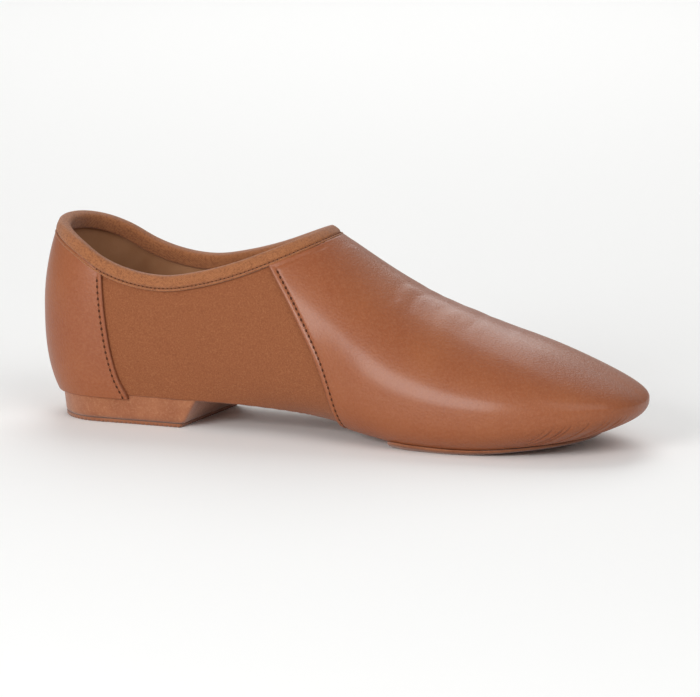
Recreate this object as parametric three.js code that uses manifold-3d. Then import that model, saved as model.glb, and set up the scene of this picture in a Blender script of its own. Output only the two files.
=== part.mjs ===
// Slip-on split-sole jazz shoe for the left foot, in millimetres.
// +X runs to the toe, +Y to the outer side of the foot, +Z up. The shoe stands on its two soles at z = 0.
// A stretch sock is the upper. A leather vamp and a leather heel counter lie over it, an elastic binding
// folds over its collar, and a suede forefoot sole and a low suede-covered heel leave the arch free.

import * as THREE from "three";
import { mergeVertices } from "three/addons/utils/BufferGeometryUtils.js";
import Module from "manifold-3d";

const wasm = await Module();
wasm.setup();

// Driving dimensions
const shoeLength = 245; // heel back to toe tip, over the leather
const ballWidth = 86; // the last's width at the ball, the unit of every width share below
const instepRise = 68; // tread line to the top of the instep at mid length
const heelRise = 10; // floor to the leather under the heel seat
const toeSpring = 8; // how far the tread line has risen at the toe tip
const sockWall = 1.8; // stretch fabric with its lining
const leatherWall = 1.0; // vamp and heel counter
const bindingWall = 1.4; // each leg of the folded elastic
const bindingWidth = 4.3; // how far the binding reaches down from the sock's edge
const insoleWall = 2.0;
const forefootSoleWall = 1.4;
const heelSoleWall = 1.5;
const gap = 0.3; // clearance between pieces that touch
const lastingMargin = 11; // width of the upper's turned-in edge under the forefoot
const openingLength = 22; // the hole in the upper under the heel seat, from back to front
const openingWidth = 26;
const openingBack = 15; // that hole's back edge, from the heel back
const blockLength = 57; // the heel block from its back edge to the breast, at the floor
const blockFlare = 0.12; // how far the block's edge moves out for each millimetre of height
const breastSlope = 0.6; // how far the breast moves to the toe for each millimetre of height
const breastSkew = 0.08; // and for each millimetre to the outer side
const soleBack = 0.596 * shoeLength; // forefoot sole's back edge at the spine, from the heel back
const soleBackCurve = 10; // how much further to the toe that edge is at the sides
const vampUnderEdge = 0.538 * shoeLength; // the vamp's edge under the arch, from the heel back

// Cross sections from heel back to toe tip. along is a share of the length; spine, medial and lateral are
// shares of the ball width; seat is a share of the heel rise and spring of the toe spring; wide and ridge are
// heights above the tread line as shares of the instep rise; tread is the flat share of the half width.
const sections = named(
  ["along", "spine", "medial", "lateral", "seat", "spring", "wide", "ridge", "tread"],
  [
    [0.0, 0.0, 0.33, 0.33, 1.0, 0.0, 0.49, 1.29, 0.78],
    [0.12, 0.0, 0.34, 0.345, 1.0, 0.0, 0.49, 1.38, 0.9],
    [0.25, -0.005, 0.34, 0.355, 1.0, 0.0, 0.45, 1.385, 0.93],
    [0.38, -0.015, 0.345, 0.39, 0.9, 0.0, 0.36, 1.22, 0.8],
    [0.5, -0.03, 0.375, 0.45, 0.62, 0.0, 0.29, 0.985, 0.7],
    [0.59, -0.039, 0.425, 0.5, 0.24, 0.0, 0.24, 0.838, 0.74],
    [0.66, -0.043, 0.449, 0.521, 0.0, 0.0, 0.214, 0.748, 0.78],
    [0.72, -0.046, 0.455, 0.523, 0.0, 0.0, 0.195, 0.672, 0.8],
    [0.85, -0.06, 0.4, 0.44, 0.0, 0.32, 0.168, 0.52, 0.8],
    [1.0, -0.07, 0.25, 0.25, 0.0, 1.0, 0.13, 0.3, 0.8],
  ],
);

// The collar's edge seen from the side: along is a share of the length, rise a share of the instep rise.
const collarLine = named(
  ["along", "rise"],
  [
    [-0.1, 1.0],
    [0.0, 0.985],
    [0.045, 0.94],
    [0.09, 0.868],
    [0.135, 0.778],
    [0.185, 0.722],
    [0.235, 0.704],
    [0.3, 0.743],
    [0.36, 0.814],
    [0.42, 0.912],
    [0.48, 1.02],
    [0.6, 1.26],
  ],
);

// Seams seen from the side, from above the collar down to the underside. rise is a share of the instep rise.
const vampSeams = {
  medial: named(
    ["rise", "along"],
    [[1.25, 0.335], [0.85, 0.41], [0.6, 0.461], [0.32, 0.509], [0.12, 0.529], [-0.3, 0.538]],
  ),
  lateral: named(
    ["rise", "along"],
    [[1.25, 0.335], [0.85, 0.407], [0.56, 0.47], [0.28, 0.525], [0.06, 0.535], [-0.3, 0.538]],
  ),
};
const counterSeam = named(
  ["rise", "along"],
  [[1.2, 0.128], [0.7, 0.1345], [0.42, 0.143], [0.22, 0.153], [0.1, 0.163], [0.02, 0.174], [-0.3, 0.196]],
);

const heelCentre = 0.12; // share of the length where the sections start to fan round the heel
const toeCentre = 0.7; // and round the toe
const heelRound = 2.1; // plan roundness of the heel: 2 is an ellipse, more is squarer
const toeRound = { medial: 2.4, lateral: 2.1 };
const undersideRound = 2.7; // roundness of the edge between the tread and the widest line
const heelDome = 1.9; // roundness of the wall above the widest line, at the heel
const instepDome = 2.0; // and from the instep to the toe
const domeChange = [0.2, 0.5]; // shares of the length between which it goes from one to the other
const ridgeSlant = 1.12; // the instep slopes, so a wall's height there is more than its thickness
const treadTurn = 0.6; // turn of the tread's edge, where 0 is the widest line and 1 the spine

// Edges seen from above, as shares of each arm from the spine to the widest line: at the heel back, the sides
// and the toe tip
const soleShare = { heel: 0.84, side: 0.84, toe: 0.76 };
const insoleShare = { heel: 0.86, side: 0.86, toe: 0.86 };
const blockShare = { heel: 0.68, side: 0.83, toe: 0.83 };

const fanSteps = { heel: 7, middle: 14, toe: 9 };
const turns = [-1, -0.8, -0.6, -0.45, -0.3, -0.15, 0, 0.11, 0.22, 0.33, 0.45, 0.58, 0.72, 0.86, 1];

const farOut = shoeLength; // cutters reach past the shoe on every side
const leather = -leatherWall; // growth of the leather's inner face from the shoe's outside
const sockOutside = leather - gap;
const sockInside = sockOutside - sockWall;

// Rows of numbers as objects with named columns
function named(columns, rows) {
  return rows.map((row) => Object.fromEntries(columns.map((name, i) => [name, row[i]])));
}

// A smooth cubic through a table's rows, read at one value of its first column. It runs level through a row
// where the column turns or stays as it was, so what is flat in the table is flat in the shoe.
function smooth(table, key, value) {
  const by = Object.keys(table[0])[0];
  const sign = Math.sign(table[1][by] - table[0][by]);
  const last = table.length - 1;
  const at = Math.min(Math.max(value * sign, table[0][by] * sign), table[last][by] * sign) * sign;
  let i = 0;
  while (i < last - 1 && at * sign > table[i + 1][by] * sign) i++;
  const step = (k) => table[k + 1][by] - table[k][by];
  const rate = (k) => (table[k + 1][key] - table[k][key]) / step(k);
  const slope = (k) => {
    if (k === 0) return rate(0);
    if (k === last) return rate(last - 1);
    if (rate(k - 1) * rate(k) <= 0) return 0;
    return (rate(k - 1) * step(k) + rate(k) * step(k - 1)) / (step(k) + step(k - 1));
  };
  const t = (at - table[i][by]) / step(i);
  const rise = t * t * (3 - 2 * t);
  const ends = table[i][key] * (1 - rise) + table[i + 1][key] * rise;
  return ends + step(i) * t * (1 - t) * ((1 - t) * slope(i) - t * slope(i + 1));
}

// Height of the leather's underside at a place along the shoe
function treadHeight(x, grow = 0) {
  const share = x / shoeLength;
  const onFloor = forefootSoleWall + gap;
  const lifted = (heelRise - onFloor) * smooth(sections, "seat", share);
  return onFloor + lifted + toeSpring * smooth(sections, "spring", share) - grow;
}

// One station round the outline: 0 is the heel back, 1 to 2 the straight middle and 3 the toe tip.
// It gives the point on the spine and the arm from there to the widest line.
function stationArm(station, side, grow) {
  const middle = Math.min(Math.max(station - 1, 0), 1);
  const share = heelCentre + (toeCentre - heelCentre) * middle;
  const width = smooth(sections, side, share) * ballWidth + grow;
  const angle = (Math.PI / 2) * (station < 1 ? station : Math.min(3 - station, 1));
  const round = station < 1.5 ? heelRound : toeRound[side];
  const reach = station < 1.5 ? -(heelCentre * shoeLength + grow) : (1 - toeCentre) * shoeLength + grow;
  const fanned = station < 1 || station > 2;
  return {
    spineX: share * shoeLength,
    spineY: smooth(sections, "spine", share) * ballWidth,
    armX: fanned ? reach * Math.cos(angle) ** (2 / round) : 0,
    armY: (side === "medial" ? -1 : 1) * width * Math.sin(angle) ** (2 / round),
  };
}

// Where a station stands along the shoe, as a share of its length
function stationShare(station) {
  if (station < 1) return heelCentre * station;
  if (station > 2) return toeCentre + (1 - toeCentre) * (station - 2);
  return heelCentre + (toeCentre - heelCentre) * (station - 1);
}

// A point of the shoe's outside, grown outward by grow. turn is -1 at the spine underneath,
// 0 on the widest line and 1 on the ridge.
function formPoint(station, side, turn, grow) {
  const arm = stationArm(station, side, grow);
  const share = stationShare(station);
  const tread = smooth(sections, "tread", share);
  let out;
  let part;
  if (turn >= 0) {
    const change = (share - domeChange[0]) / (domeChange[1] - domeChange[0]);
    const dome = heelDome + (instepDome - heelDome) * Math.min(Math.max(change, 0), 1);
    out = Math.abs(Math.cos((turn * Math.PI) / 2)) ** (2 / dome);
    part = Math.sin((turn * Math.PI) / 2) ** (2 / dome);
  } else {
    const flat = (1 - tread ** undersideRound) ** (1 / undersideRound);
    const edgeAngle = Math.asin(flat ** (undersideRound / 2));
    const angle = edgeAngle * Math.min(-turn / treadTurn, 1);
    const onTread = Math.max((-turn - treadTurn) / (1 - treadTurn), 0);
    out = onTread > 0 ? tread * (1 - onTread) : Math.cos(angle) ** (2 / undersideRound);
    part = onTread > 0 ? 1 : Math.sin(angle) ** (2 / undersideRound) / flat;
  }
  const x = arm.spineX + out * arm.armX;
  const y = arm.spineY + out * arm.armY;
  const tip = Math.min(Math.max(arm.spineX + arm.armX, 0), shoeLength);
  const wide = treadHeight(tip) + smooth(sections, "wide", share) * instepRise;
  const ridge = treadHeight(x) + smooth(sections, "ridge", x / shoeLength) * instepRise + grow * ridgeSlant;
  const end = turn >= 0 ? ridge : treadHeight(x, grow);
  return [x, y, wide + (end - wide) * part];
}

// A closed mesh's corners and faces as a solid, with shared corners merged and empty faces left out
function solidOf(positions, faces) {
  const geometry = new THREE.BufferGeometry();
  geometry.setAttribute("position", new THREE.Float32BufferAttribute(positions, 3));
  geometry.setIndex(faces);
  const merged = mergeVertices(geometry, 1e-4);
  const corners = Array.from(merged.index.array);
  const kept = [];
  for (let i = 0; i < corners.length; i += 3) {
    const [a, b, c] = corners.slice(i, i + 3);
    if (a !== b && b !== c && c !== a) kept.push(a, b, c);
  }
  return new wasm.Manifold(
    new wasm.Mesh({
      numProp: 3,
      vertProperties: new Float32Array(merged.attributes.position.array),
      triVerts: new Uint32Array(kept),
    }),
  );
}

// The stations once round the shoe: up the medial side from the heel and back down the lateral one
function stationsRound() {
  const oneSide = [];
  for (let i = 0; i < fanSteps.heel; i++) oneSide.push(i / fanSteps.heel);
  for (let i = 0; i < fanSteps.middle; i++) oneSide.push(1 + i / fanSteps.middle);
  for (let i = 0; i <= fanSteps.toe; i++) oneSide.push(2 + i / fanSteps.toe);
  const medial = oneSide.map((station) => ({ station, side: "medial" }));
  const lateral = oneSide.slice(1, -1).reverse().map((station) => ({ station, side: "lateral" }));
  return [...medial, ...lateral];
}

// The whole closed form of the shoe, grown outward by grow
const madeForms = new Map();
function form(grow) {
  const key = grow.toFixed(3);
  if (madeForms.has(key)) return madeForms.get(key);
  const round = stationsRound();
  const rows = turns.length;
  const positions = round.flatMap(({ station, side }) =>
    turns.flatMap((turn) => formPoint(station, side, turn, grow)),
  );
  const faces = [];
  for (let i = 0; i < round.length; i++) {
    const here = i * rows;
    const next = ((i + 1) % round.length) * rows;
    for (let r = 0; r < rows - 1; r++) {
      faces.push(here + r, next + r, next + r + 1, here + r, next + r + 1, here + r + 1);
    }
  }
  const solid = solidOf(positions, faces);
  madeForms.set(key, solid);
  return solid;
}

// The wall between two growths of the form
function wallBetween(inner, outer) {
  return form(outer).subtract(form(inner));
}

// A flat outline, extruded: seen from the side it runs across the shoe, seen from above it runs up
function extruded(outline, depth) {
  const shape = new THREE.Shape(outline.map(([u, v]) => new THREE.Vector2(u, v)));
  return new THREE.ExtrudeGeometry(shape, { depth, bevelEnabled: false });
}

function closedSolid(geometry) {
  geometry.deleteAttribute("normal");
  geometry.deleteAttribute("uv");
  const positions = Array.from(geometry.getAttribute("position").array);
  return solidOf(positions, positions.map((_, i) => i).slice(0, positions.length / 3));
}

function sidePrism(outline, from = -farOut, to = farOut) {
  const geometry = extruded(outline, to - from);
  geometry.rotateX(Math.PI / 2);
  geometry.translate(0, to, 0);
  return closedSolid(geometry);
}

function plumbPrism(outline, low, high) {
  const geometry = extruded(outline, high - low);
  geometry.translate(0, 0, low);
  return closedSolid(geometry);
}

// A line seen from the side, moved off itself by distance, to its left as it runs
function movedLine(line, distance) {
  return line.map(([x, z], i) => {
    const [x0, z0] = line[Math.max(i - 1, 0)];
    const [x1, z1] = line[Math.min(i + 1, line.length - 1)];
    const run = Math.hypot(x1 - x0, z1 - z0);
    return [x - ((z1 - z0) / run) * distance, z + ((x1 - x0) / run) * distance];
  });
}

// The collar's edge from heel to toe, in steps close enough to look curved
function collarEdge() {
  const steps = 34;
  const start = collarLine[0].along;
  const end = collarLine[collarLine.length - 1].along;
  return Array.from({ length: steps + 1 }, (_, i) => {
    const share = start + ((end - start) * i) / steps;
    const x = share * shoeLength;
    return [x, treadHeight(Math.max(x, 0)) + smooth(collarLine, "rise", share) * instepRise];
  });
}

// Everything above the collar's edge, or above a line off it by distance
function aboveCollar(distance) {
  const line = movedLine(collarEdge(), distance);
  const first = line[0];
  const last = line[line.length - 1];
  return sidePrism([...line, [last[0], farOut], [first[0] - farOut, farOut], [first[0] - farOut, first[1]]]);
}

// A seam from its top to its underside end, seen from the side
function seamLine(seam) {
  const steps = 14;
  const top = seam[0].rise;
  const foot = seam[seam.length - 1].rise;
  return Array.from({ length: steps + 1 }, (_, i) => {
    const rise = top + ((foot - top) * i) / steps;
    const x = smooth(seam, "along", rise) * shoeLength;
    return [x, treadHeight(x) + rise * instepRise];
  });
}

// Everything toeward of the vamp's seam on each side of the spine
function vampSide(side, from, to) {
  const line = seamLine(vampSeams[side]);
  const far = shoeLength + farOut;
  const around = [[line[line.length - 1][0], -farOut], [far, -farOut], [far, farOut], [line[0][0], farOut]];
  return sidePrism([...line, ...around], from, to);
}

// Both sides of the vamp, which share a narrow strip along the spine so that they are one
function vampRegion() {
  const seamSpine = smooth(sections, "spine", vampUnderEdge / shoeLength) * ballWidth;
  return vampSide("medial", -farOut, seamSpine + gap).add(vampSide("lateral", seamSpine - gap, farOut));
}

// Everything heelward of the counter's seam, moved to the toe by distance
function counterRegion(distance) {
  const line = seamLine(counterSeam).map(([x, z]) => [x + distance, z]);
  const end = line[line.length - 1];
  const around = [[line[0][0], farOut], [-farOut, farOut], [-farOut, -farOut], [end[0], -farOut]];
  return sidePrism([...around, ...line.reverse()]);
}

// An outline seen from above at a share of each arm, drawn in by inset. The share goes from the sides' to the
// heel's or the toe's as the arm turns that way.
function treadOutline(share, inset) {
  return stationsRound().map(({ station, side }) => {
    const arm = stationArm(station, side, 0);
    const reach = Math.hypot(arm.armX, arm.armY);
    const end = arm.armX < 0 ? share.heel : share.toe;
    const scale = share.side + (end - share.side) * (arm.armX / reach) ** 2 - inset / reach;
    return [arm.spineX + arm.armX * scale, arm.spineY + arm.armY * scale];
  });
}

// A plumb solid with the forefoot sole's outline, its back edge bowed to the heel, drawn in by inset
function forefootPrism(inset, low, high) {
  const half = ballWidth / 2;
  const steps = 12;
  const back = Array.from({ length: steps + 1 }, (_, i) => {
    const y = half * (1 - (2 * i) / steps);
    return [soleBack + inset + soleBackCurve * (y / half) ** 2, y];
  });
  const toeward = plumbPrism([...back, [shoeLength, -half], [shoeLength, half]], low, high);
  return plumbPrism(treadOutline(soleShare, inset), low, high).intersect(toeward);
}

// The hole in the upper under the heel seat
function heelOpening(inset) {
  const points = 24;
  return Array.from({ length: points }, (_, i) => {
    const angle = (i / points) * 2 * Math.PI;
    return [
      openingBack + openingLength / 2 + (openingLength / 2 - inset) * Math.cos(angle),
      (openingWidth / 2 - inset) * Math.sin(angle),
    ];
  });
}

// Both holes underneath, drawn in by inset
function undersideHoles(inset) {
  const high = treadHeight(0) + insoleWall + sockWall + 2 * leatherWall;
  return forefootPrism(lastingMargin + inset, -gap, high).add(plumbPrism(heelOpening(inset), -gap, high));
}

// The sock: hollow, open at the collar and under the heel and forefoot
function makeUpper() {
  return wallBetween(sockInside, sockOutside).subtract(aboveCollar(0)).subtract(undersideHoles(0));
}

function makeVamp() {
  return wallBetween(leather, 0)
    .intersect(vampRegion())
    .subtract(aboveCollar(-bindingWidth - gap))
    .subtract(undersideHoles(0));
}

function makeCounter() {
  return wallBetween(leather, 0)
    .intersect(counterRegion(0))
    .subtract(aboveCollar(-bindingWidth - gap))
    .subtract(undersideHoles(0));
}

// Elastic folded over the collar: a band of both walls, less the sock and its clearance
function makeBinding() {
  const band = wallBetween(sockInside - gap - bindingWall, sockOutside + gap + bindingWall)
    .intersect(aboveCollar(-bindingWidth))
    .subtract(aboveCollar(gap + bindingWall));
  const core = wallBetween(sockInside - gap, sockOutside + gap).subtract(aboveCollar(gap));
  return band.subtract(core);
}

// The insole lies in the sock and fills the holes under it down to the soles
function makeInsole() {
  const outline = treadOutline(insoleShare, gap);
  const top = treadHeight(0) + 2 * (insoleWall + sockWall);
  const bed = sockInside - gap - insoleWall;
  const sheet = wallBetween(bed, sockInside - gap).intersect(plumbPrism(outline, -gap, top));
  return sheet.add(wallBetween(bed, 0).intersect(undersideHoles(gap)));
}

function makeForefootSole() {
  const sheet = forefootPrism(0, -farOut, treadHeight(shoeLength));
  return wallBetween(gap, gap + forefootSoleWall).intersect(sheet);
}

// A solid between two outlines of equal count at two heights
function loft(low, high, lowHeight, highHeight) {
  const count = low.length;
  const ring = (outline, height) => outline.flatMap(([x, y]) => [x, y, height]);
  const positions = [...ring(low, lowHeight), ...ring(high, highHeight)];
  const faces = [];
  for (let i = 0; i < count; i++) {
    const next = (i + 1) % count;
    faces.push(i, next, count + next, i, count + next, count + i);
  }
  const flat = THREE.ShapeUtils.triangulateShape(low.map(([x, y]) => new THREE.Vector2(x, y)), []);
  for (const [a, b, c] of flat) {
    faces.push(c, b, a, count + a, count + b, count + c);
  }
  return solidOf(positions, faces);
}

// The part of the heel between two heights: flared sides, and a breast that slopes and is a little askew
function heelSlice(low, high) {
  const edge = (height) => treadOutline(blockShare, -blockFlare * height);
  const back = heelCentre * shoeLength * (1 - blockShare.heel);
  const behind = (height) => {
    const breast = back + blockLength + breastSlope * height;
    const askew = breastSkew * farOut;
    return [[-farOut, -farOut], [breast - askew, -farOut], [breast + askew, farOut], [-farOut, farOut]];
  };
  return loft(edge(low), edge(high), low, high).intersect(loft(behind(low), behind(high), low, high));
}

// The heel block, its top hollowed to the counter and the sock
function makeHeelBlock() {
  return heelSlice(heelSoleWall + gap, 2 * heelRise)
    .subtract(form(sockOutside + gap))
    .subtract(form(gap).intersect(counterRegion(gap)));
}

function makeHeelSole() {
  return heelSlice(0, heelSoleWall);
}

const suede = { color: 0xb87652, roughness: 0.95, metalness: 0 };
const pieces = [
  ["upper", makeUpper, { color: 0x9a5f3d, roughness: 0.9, metalness: 0 }],
  ["vamp", makeVamp, { color: 0xa4623f, roughness: 0.45, metalness: 0 }],
  ["heel_counter", makeCounter, { color: 0x96593a, roughness: 0.45, metalness: 0 }],
  ["collar_binding", makeBinding, { color: 0xa56a44, roughness: 0.85, metalness: 0 }],
  ["insole", makeInsole, { color: 0xa87450, roughness: 0.9, metalness: 0 }],
  ["forefoot_sole", makeForefootSole, suede],
  ["heel_block", makeHeelBlock, suede],
  ["heel_sole", makeHeelSole, suede],
];

const shoe = new THREE.Group();
for (const [name, make, look] of pieces) {
  const { vertProperties, triVerts } = make().getMesh();
  const geometry = new THREE.BufferGeometry();
  geometry.setAttribute("position", new THREE.BufferAttribute(vertProperties, 3));
  geometry.setIndex(new THREE.BufferAttribute(triVerts, 1));
  const mesh = new THREE.Mesh(geometry, new THREE.MeshStandardMaterial(look));
  mesh.name = name;
  shoe.add(mesh);
}

// The origin is on the floor, under the middle of the whole shoe
const bounds = new THREE.Box3().setFromObject(shoe);
const middle = bounds.getCenter(new THREE.Vector3());
shoe.position.set(-middle.x, -middle.y, 0);

export default shoe;
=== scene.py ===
# Slip-on jazz shoe for the left foot: tan leather vamp and heel counter over a stretch sock, folded elastic
# round the collar, suede forefoot sole and low suede heel. Shapes are worked out in millimetres from the
# sizes that the frame's solids have.

import bpy
import bmesh
import numpy as np
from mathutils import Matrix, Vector


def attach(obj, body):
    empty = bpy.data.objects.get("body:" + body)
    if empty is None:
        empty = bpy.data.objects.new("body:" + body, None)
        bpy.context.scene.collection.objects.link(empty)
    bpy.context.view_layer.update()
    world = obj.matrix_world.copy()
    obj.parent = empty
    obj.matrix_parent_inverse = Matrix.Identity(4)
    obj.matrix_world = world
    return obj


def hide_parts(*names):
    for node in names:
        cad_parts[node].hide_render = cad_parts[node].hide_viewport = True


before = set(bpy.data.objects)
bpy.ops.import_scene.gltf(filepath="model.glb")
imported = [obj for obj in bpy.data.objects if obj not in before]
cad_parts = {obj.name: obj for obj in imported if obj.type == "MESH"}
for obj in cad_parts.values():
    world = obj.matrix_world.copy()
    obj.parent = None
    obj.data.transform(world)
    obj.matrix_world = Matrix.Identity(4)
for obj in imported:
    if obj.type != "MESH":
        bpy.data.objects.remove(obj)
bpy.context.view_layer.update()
join = np.concatenate

# The last: the sizes and sections that the solids were cut from

last = {
    "length": 245.0, "ballWidth": 86.0, "instepRise": 68.0, "heelRise": 10.0, "toeSpring": 8.0,
    "onFloor": 1.7, "heelCentre": 0.12, "toeCentre": 0.7, "heelRound": 2.1, "toeRoundMedial": 2.4,
    "toeRoundLateral": 2.1, "undersideRound": 2.7, "heelDome": 1.9, "instepDome": 2.0,
    "domeChange": (0.2, 0.5), "ridgeSlant": 1.12, "treadTurn": 0.6, "centre": (122.5, -0.9),
}
sections = {
    "along": (0.0, 0.12, 0.25, 0.38, 0.5, 0.59, 0.66, 0.72, 0.85, 1.0),
    "spine": (0.0, 0.0, -0.005, -0.015, -0.03, -0.039, -0.043, -0.046, -0.06, -0.07),
    "medial": (0.33, 0.34, 0.34, 0.345, 0.375, 0.425, 0.449, 0.455, 0.4, 0.25),
    "lateral": (0.33, 0.345, 0.355, 0.39, 0.45, 0.5, 0.521, 0.523, 0.44, 0.25),
    "seat": (1.0, 1.0, 1.0, 0.9, 0.62, 0.24, 0.0, 0.0, 0.0, 0.0),
    "spring": (0.0, 0.0, 0.0, 0.0, 0.0, 0.0, 0.0, 0.0, 0.32, 1.0),
    "wide": (0.49, 0.49, 0.45, 0.36, 0.29, 0.24, 0.214, 0.195, 0.168, 0.13),
    "ridge": (1.29, 1.38, 1.385, 1.22, 0.985, 0.838, 0.748, 0.672, 0.52, 0.3),
    "tread": (0.78, 0.9, 0.93, 0.8, 0.7, 0.74, 0.78, 0.8, 0.8, 0.8),
}
collarLine = {
    "along": (-0.1, 0.0, 0.045, 0.09, 0.135, 0.185, 0.235, 0.3, 0.36, 0.42, 0.48, 0.6),
    "rise": (1.0, 0.985, 0.94, 0.868, 0.778, 0.722, 0.704, 0.743, 0.814, 0.912, 1.02, 1.26),
}
vampSeams = {
    -1: {"rise": (-0.3, 0.12, 0.32, 0.6, 0.85, 1.25), "along": (0.538, 0.529, 0.509, 0.461, 0.41, 0.335)},
    1: {"rise": (-0.3, 0.06, 0.28, 0.56, 0.85, 1.25), "along": (0.538, 0.535, 0.525, 0.47, 0.407, 0.335)},
}
counterSeam = {
    "rise": (-0.3, 0.02, 0.1, 0.22, 0.42, 0.7, 1.2),
    "along": (0.196, 0.174, 0.163, 0.153, 0.143, 0.1345, 0.128),
}


# A smooth cubic through a table's rows, level where a column turns or stays, as in the solids
def smooth(table, column, value):
    columns = list(table)
    x, y = np.array(table[columns[0]], float), np.array(table[column], float)
    step = np.diff(x)
    rate = np.diff(y) / step
    middle = (rate[:-1] * step[1:] + rate[1:] * step[:-1]) / (step[1:] + step[:-1])
    middle = np.where(rate[:-1] * rate[1:] <= 0, 0.0, middle)
    slope = join([rate[:1], middle, rate[-1:]])
    value = np.clip(value, x[0], x[-1])
    i = np.clip(np.searchsorted(x, value, "right") - 1, 0, len(x) - 2)
    t = (value - x[i]) / step[i]
    rise = t * t * (3 - 2 * t)
    ends = y[i] * (1 - rise) + y[i + 1] * rise
    return ends + step[i] * t * (1 - t) * ((1 - t) * slope[i] - t * slope[i + 1])


# Height of the leather's underside along the shoe
def treadHeight(x, grow=0.0):
    share = np.clip(x / last["length"], 0, 1)
    lifted = (last["heelRise"] - last["onFloor"]) * smooth(sections, "seat", share)
    return last["onFloor"] + lifted + last["toeSpring"] * smooth(sections, "spring", share) - grow


# The spine's place across the shoe, and the half width beside it on a side, at shares of the length
def spineAt(share):
    return smooth(sections, "spine", share) * last["ballWidth"]


def widthAt(share, side):
    width = np.where(side < 0, smooth(sections, "medial", share), smooth(sections, "lateral", share))
    return width * last["ballWidth"]


def tall(column, share):
    return smooth(sections, column, share) * last["instepRise"]


# The arm from the spine to the widest line. A station is 0 at the heel back, 1 to 2 between and 3 at the
# toe tip, and round both ends the arm turns on a superellipse: a cosine and a sine raised to 2 / power.
def armOf(station, side, grow):
    share = np.clip(np.interp(station, [0, 1, 2, 3], [0, last["heelCentre"], last["toeCentre"], 1]), 0, 1)
    middle = np.clip(share, last["heelCentre"], last["toeCentre"])
    rear = station < 1.5
    angle = np.pi / 2 * np.clip(np.where(rear, station, 3 - station), 0, 1)
    toeRound = np.where(side < 0, last["toeRoundMedial"], last["toeRoundLateral"])
    power = 2 / np.where(rear, last["heelRound"], toeRound)
    back = -(last["heelCentre"] * last["length"] + grow)
    front = (1 - last["toeCentre"]) * last["length"] + grow
    fanned = (station < 1) | (station > 2)
    armX = np.where(fanned, np.where(rear, back, front) * np.abs(np.cos(angle)) ** power, 0.0)
    armY = side * (widthAt(middle, side) + grow) * np.sin(angle) ** power
    return share, middle * last["length"], spineAt(middle), armX, armY


# A point of the outside, grown by grow. girth is 0 on the ridge, -1 and 1 under the spine, and negative
# on the medial side; a superellipse leads from the ridge to the widest line at a half, and another to the
# flat tread.
def formPoints(station, girth, grow=0.0):
    station, girth, grow = np.broadcast_arrays(*[np.asarray(a, float) for a in (station, girth, grow)])
    side = np.where(girth < 0, -1.0, 1.0)
    turn = 1 - 2 * np.abs(girth)
    share, spineX, spineY, armX, armY = armOf(station, side, grow)
    change = np.clip((share - last["domeChange"][0]) / np.ptp(last["domeChange"]), 0, 1)
    power = 2 / (last["heelDome"] + (last["instepDome"] - last["heelDome"]) * change)
    up = np.clip(turn, 0, 1) * np.pi / 2
    tread = smooth(sections, "tread", share)
    n = last["undersideRound"]
    flat = (1 - tread ** n) ** (1 / n)
    angle = np.arcsin(flat ** (n / 2)) * np.clip(-turn / last["treadTurn"], 0, 1)
    onTread = np.clip((-turn - last["treadTurn"]) / (1 - last["treadTurn"]), 0, 1)
    outLow = np.where(onTread > 0, tread * (1 - onTread), np.cos(angle) ** (2 / n))
    partLow = np.where(onTread > 0, 1.0, np.sin(angle) ** (2 / n) / flat)
    out = np.where(turn >= 0, np.abs(np.cos(up)) ** power, outLow)
    part = np.where(turn >= 0, np.sin(up) ** power, partLow)
    x, y = spineX + out * armX, spineY + out * armY
    wide = treadHeight(np.clip(spineX + armX, 0, last["length"])) + tall("wide", share)
    ridge = treadHeight(x) + tall("ridge", np.clip(x / last["length"], 0, 1))
    end = np.where(turn >= 0, ridge + grow * last["ridgeSlant"], treadHeight(x, grow))
    return np.stack([x, y, wide + (end - wide) * part], -1)


# Height of the underside over a place on the floor: the same superellipse read the other way round
def undersideHeight(x, y, grow):
    length = last["length"]
    middle = np.clip(x / length, last["heelCentre"], last["toeCentre"])
    side = np.where(y < spineAt(middle), -1.0, 1.0)
    offY = np.abs(y - spineAt(middle)) / (widthAt(middle, side) + grow)
    offX = x - middle * length
    reach = np.where(offX < 0, last["heelCentre"] * length + grow, (1 - last["toeCentre"]) * length + grow)
    offX = np.abs(offX) / reach
    toeRound = np.where(side < 0, last["toeRoundMedial"], last["toeRoundLateral"])
    n = np.where(x < length / 2, last["heelRound"], toeRound)
    out = (offX ** n + offY ** n) ** (1 / n)
    angle = np.arctan2(offY ** (n / 2), offX ** (n / 2) + 1e-12) / (np.pi / 2)
    ends = np.where(x < length / 2, angle * last["heelCentre"], 1 - angle * (1 - last["toeCentre"]))
    share = np.where(offX > 1e-9, ends, middle)
    tread = smooth(sections, "tread", share)
    n = last["undersideRound"]
    part = np.clip(1 - np.clip(out, tread, 1) ** n, 0, 1) ** (1 / n) / (1 - tread ** n) ** (1 / n)
    wide = treadHeight(x) + tall("wide", share)
    return wide + (treadHeight(x, grow) - wide) * part


# Lines seen from the side are tables of rise: height over the tread as a share of the instep's
def riseOf(p):
    return (p[..., 2] - treadHeight(p[..., 0])) / last["instepRise"]


# The collar's rise over a place, moved up by a distance
def collarRise(p, distance=0.0):
    return smooth(collarLine, "rise", p[..., 0] / last["length"]) + distance / last["instepRise"]


# The place between two samples where a value changes sign, by a straight line between them
def crossing(values, axis, pickLast):
    sign = values > 0
    change = sign[:, :-1] != sign[:, 1:]
    found = change.any(1)
    i = change.shape[1] - 1 - np.argmax(change[:, ::-1], 1) if pickLast else np.argmax(change, 1)
    rows = np.arange(len(values))
    a, b = values[rows, i], values[rows, i + 1]
    place = axis[i] + (axis[i + 1] - axis[i]) * a / np.where(a == b, 1, a - b)
    return np.where(found, place, np.nan)


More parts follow.
